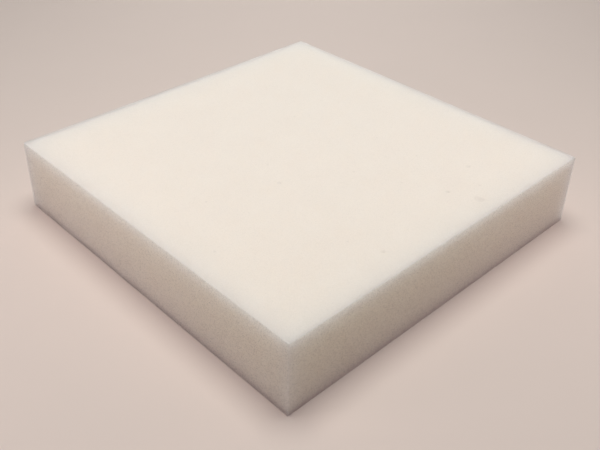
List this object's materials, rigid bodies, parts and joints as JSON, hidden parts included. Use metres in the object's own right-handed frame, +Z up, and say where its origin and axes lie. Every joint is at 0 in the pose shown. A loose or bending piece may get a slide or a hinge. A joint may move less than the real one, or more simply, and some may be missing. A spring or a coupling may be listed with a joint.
{
  "type": "foam block",
  "caption": "Square slab of cream-white open-cell foam with straight knife-cut sides, soft edges and small open pinholes in its top.",
  "frame": {"origin": "middle of the underside, on the surface that the block rests on", "axes": "+Z up through the thickness, +X and +Y along the cut sides; the corner nearest the picture's camera points to -X and -Y"},
  "size_m": [0.4572, 0.4572, 0.0889],
  "materials": {
    "foam": "soft matt open-cell foam"
  },
  "bodies": {
    "root": {"foam_block": "foam"}
  },
  "joints": []
}
